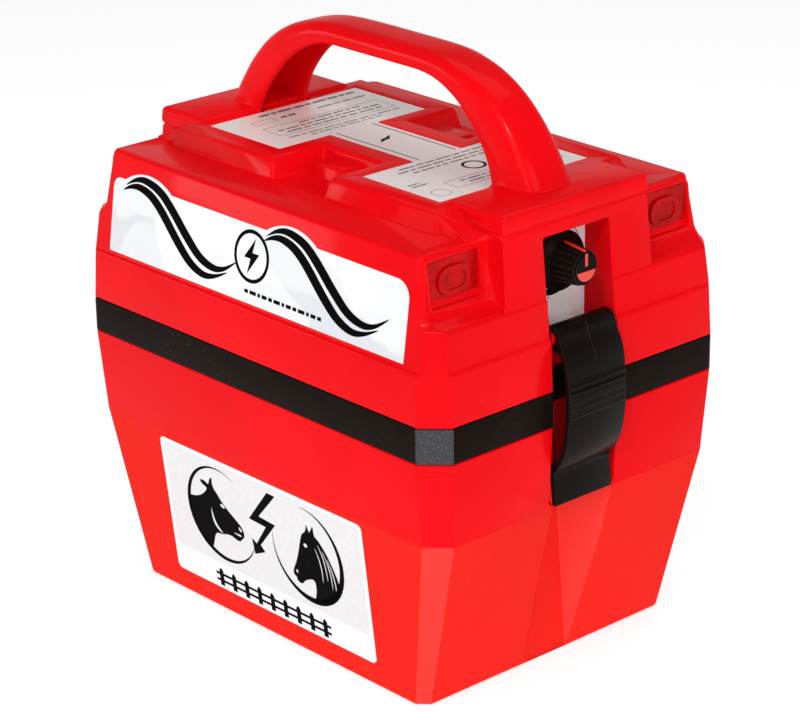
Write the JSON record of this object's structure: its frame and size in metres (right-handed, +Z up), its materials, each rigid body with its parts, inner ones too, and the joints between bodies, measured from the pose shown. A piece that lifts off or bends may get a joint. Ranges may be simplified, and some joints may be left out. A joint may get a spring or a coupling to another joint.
{
  "type": "fence energizer",
  "caption": "Battery-powered electric fence energizer: tapered tub with a lift-off power unit, carrying handle, end latches and a power knob.",
  "frame": {"origin": "centre of the tub's underside, which is also the bottom centre of the whole object's box", "axes": "+Z up, +X towards the short end that carries the power knob, -Y towards one long labelled side"},
  "size_m": [0.266, 0.185, 0.2799],
  "materials": {
    "red_plastic": "semi-gloss moulded polypropylene",
    "black_plastic": "satin",
    "seal_rubber": "satin",
    "label_film": "coated film",
    "grey_plastic": "matte",
    "battery_wrap": "shrink film",
    "circuit_board": "solder mask",
    "brass": "turned",
    "zinc_steel": "zinc plated",
    "aluminium": "extruded",
    "copper_winding": "taped enamelled wire",
    "red_insulation": "soft insulation",
    "black_insulation": "soft insulation",
    "capacitor_case": "moulded case",
    "red_pointer": "gloss"
  },
  "bodies": {
    "tub": {"battery_cap": "grey_plastic", "battery_case": "battery_wrap", "battery_terminal_negative": "brass", "battery_terminal_positive": "brass", "battery_tub": "red_plastic", "lower_label_back": "label_film", "lower_label_front": "label_film", "seal_band": "seal_rubber"},
    "power_unit": {"battery_clip_negative": "black_insulation", "battery_clip_positive": "red_insulation", "battery_lead_negative": "black_insulation", "battery_lead_positive": "red_insulation", "board_screw_1": "zinc_steel", "board_screw_2": "zinc_steel", "board_screw_3": "zinc_steel", "board_screw_4": "zinc_steel", "circuit_board": "circuit_board", "control_chip": "black_plastic", "control_nut": "zinc_steel", "control_ribbon": "grey_plastic", "control_washer": "zinc_steel", "converter_transformer": "copper_winding", "dial_label": "label_film", "discharge_thyristor": "black_plastic", "earth_outlet": "red_plastic", "earth_terminal": "brass", "earth_wire": "black_insulation", "electronics_tray": "grey_plastic", "fence_outlet": "red_plastic", "fence_terminal": "brass", "fence_wire": "red_insulation", "filter_capacitor": "black_plastic", "heat_sink": "aluminium", "potentiometer": "grey_plastic", "storage_capacitor": "capacitor_case", "top_label": "label_film", "transformer_core": "zinc_steel", "transformer_winding": "copper_winding", "tray_screw_1": "zinc_steel", "tray_screw_2": "zinc_steel", "tray_screw_3": "zinc_steel", "tray_screw_4": "zinc_steel", "tray_screw_5": "zinc_steel", "tray_screw_6": "zinc_steel", "upper_housing": "red_plastic", "upper_label_back": "label_film", "upper_label_front": "label_film"},
    "knob": {"power_knob": "black_plastic", "knob_pointer_cap": "red_pointer", "control_shaft": "zinc_steel"},
    "latch_right": {"latch_right": "black_plastic"},
    "latch_left": {"latch_left": "black_plastic"}
  },
  "joints": [
    {"name": "unit_lift", "type": "slide", "parent": "tub", "child": "power_unit", "axis": [0, 0, 1], "range_m": [0, 0.11]},
    {"name": "knob_turn", "type": "hinge", "parent": "power_unit", "child": "knob", "pos_m": [0.1068, 0, 0.197], "axis": [1, 0, 0], "range_deg": [-165, 115]},
    {"name": "latch_right_swing", "type": "hinge", "parent": "power_unit", "child": "latch_right", "pos_m": [0.12, 0, 0.168], "axis": [0, -1, 0], "range_deg": [0, 95]},
    {"name": "latch_left_swing", "type": "hinge", "parent": "power_unit", "child": "latch_left", "pos_m": [-0.12, 0, 0.168], "axis": [0, 1, 0], "range_deg": [0, 95]}
  ]
}
